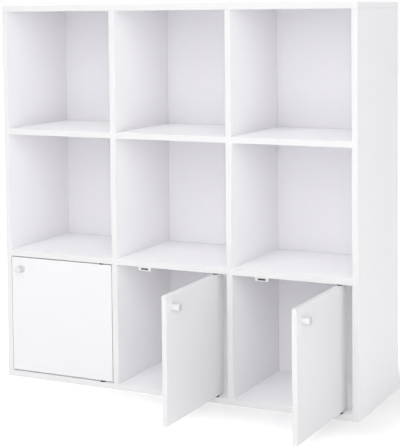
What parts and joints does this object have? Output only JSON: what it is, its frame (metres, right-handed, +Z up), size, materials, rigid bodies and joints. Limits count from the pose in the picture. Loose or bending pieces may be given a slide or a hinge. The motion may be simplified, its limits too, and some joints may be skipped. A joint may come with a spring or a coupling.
{
  "type": "cube bookcase",
  "caption": "White free-standing cube bookcase: square open cells, the bottom row closed by small pivoting doors with round metal knobs.",
  "frame": {"origin": "centre of the rectangle that the cabinet stands on, without the doors, on the floor plane", "axes": "+X to the right seen from the front, +Y from the front to the back, +Z up; the doors open towards -Y"},
  "size_m": [0.975, 0.564, 0.975],
  "materials": {
    "white_board": "white melamine-faced chipboard with white edge banding",
    "white_door": "white melamine-faced chipboard, edged all round",
    "white_hardboard": "white-faced hardboard, satin",
    "white_strip": "extruded white plastic",
    "white_plastic": "moulded, satin",
    "black_plastic": "moulded acetal, satin",
    "knob_metal": "satin turned",
    "steel_plate": "plain cold-rolled, lightly oiled",
    "zinc_plated_steel": "bright zinc plated",
    "zinc_casting": "die-cast zinc, dull grey",
    "ferrite": "ground ferrite, dark grey",
    "beech": "bare fluted beech"
  },
  "bodies": {
    "carcass": {"back_panel_left": "white_hardboard", "back_panel_middle": "white_hardboard", "back_panel_right": "white_hardboard", "back_strip_left": "white_strip", "back_strip_right": "white_strip", "bottom_board": "white_board", "bottom_board_screws": "zinc_plated_steel", "cam_bolts": "zinc_plated_steel", "cam_locks": "zinc_casting", "catch_housing_left": "white_plastic", "catch_housing_middle": "white_plastic", "catch_housing_right": "white_plastic", "catch_magnet_left": "ferrite", "catch_magnet_middle": "ferrite", "catch_magnet_right": "ferrite", "catch_pole_plates_left": "steel_plate", "catch_pole_plates_middle": "steel_plate", "catch_pole_plates_right": "steel_plate", "catch_screws": "zinc_plated_steel", "divider_bottom_left": "white_board", "divider_bottom_right": "white_board", "divider_dowels": "beech", "divider_middle_left": "white_board", "divider_middle_right": "white_board", "divider_top_left": "white_board", "divider_top_right": "white_board", "left_side": "white_board", "lower_pivot_bush_left": "black_plastic", "lower_pivot_bush_middle": "black_plastic", "lower_pivot_bush_right": "black_plastic", "lower_shelf": "white_board", "right_side": "white_board", "screw_caps": "white_plastic", "shelf_end_dowels": "beech", "top_board": "white_board", "top_board_screws": "zinc_plated_steel", "upper_pivot_bush_left": "black_plastic", "upper_pivot_bush_middle": "black_plastic", "upper_pivot_bush_right": "black_plastic", "upper_shelf": "white_board"},
    "door_left": {"door_panel_left": "white_door", "knob_left": "knob_metal", "knob_screw_left": "zinc_plated_steel", "pivot_pins_left": "steel_plate", "strike_plate_left": "steel_plate", "strike_screw_left": "zinc_plated_steel"},
    "door_middle": {"door_panel_middle": "white_door", "knob_middle": "knob_metal", "knob_screw_middle": "zinc_plated_steel", "pivot_pins_middle": "steel_plate", "strike_plate_middle": "steel_plate", "strike_screw_middle": "zinc_plated_steel"},
    "door_right": {"door_panel_right": "white_door", "knob_right": "knob_metal", "knob_screw_right": "zinc_plated_steel", "pivot_pins_right": "steel_plate", "strike_plate_right": "steel_plate", "strike_screw_right": "zinc_plated_steel"}
  },
  "joints": [
    {"name": "door_left_hinge", "type": "hinge", "parent": "carcass", "child": "door_left", "pos_m": [-0.2005, -0.144, 0.168], "axis": [0, 0, 1], "range_deg": [0, 150]},
    {"name": "door_middle_hinge", "type": "hinge", "parent": "carcass", "child": "door_middle", "pos_m": [0.1195, -0.144, 0.168], "axis": [0, 0, 1], "range_deg": [-90, 60]},
    {"name": "door_right_hinge", "type": "hinge", "parent": "carcass", "child": "door_right", "pos_m": [0.4395, -0.144, 0.168], "axis": [0, 0, 1], "range_deg": [-89.1, 60.9]}
  ]
}
